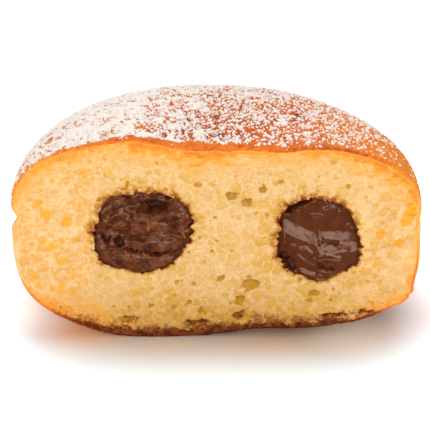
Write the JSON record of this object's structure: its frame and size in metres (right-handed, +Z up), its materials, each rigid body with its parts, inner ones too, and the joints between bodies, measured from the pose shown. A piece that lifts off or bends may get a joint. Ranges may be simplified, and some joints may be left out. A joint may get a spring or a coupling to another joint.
{
  "type": "cut filled doughnut",
  "caption": "Cut half of a round, sugar-dusted filled doughnut, with pockets of chocolate cream in its cut face.",
  "frame": {"origin": "on the underside, in the middle of the flat patch that the half doughnut stands on", "axes": "+Z up, +X to the right along the cut face, +Y from the cut face towards the round back; the cut face looks along -Y"},
  "size_m": [0.0875, 0.0523, 0.0468],
  "materials": {
    "dough": "matt open crumb inside a browned crust dusted with sugar",
    "chocolate_cream": "smooth and wet-looking"
  },
  "bodies": {
    "root": {"dough": "dough", "filling_left": "chocolate_cream", "filling_right": "chocolate_cream"}
  },
  "joints": []
}
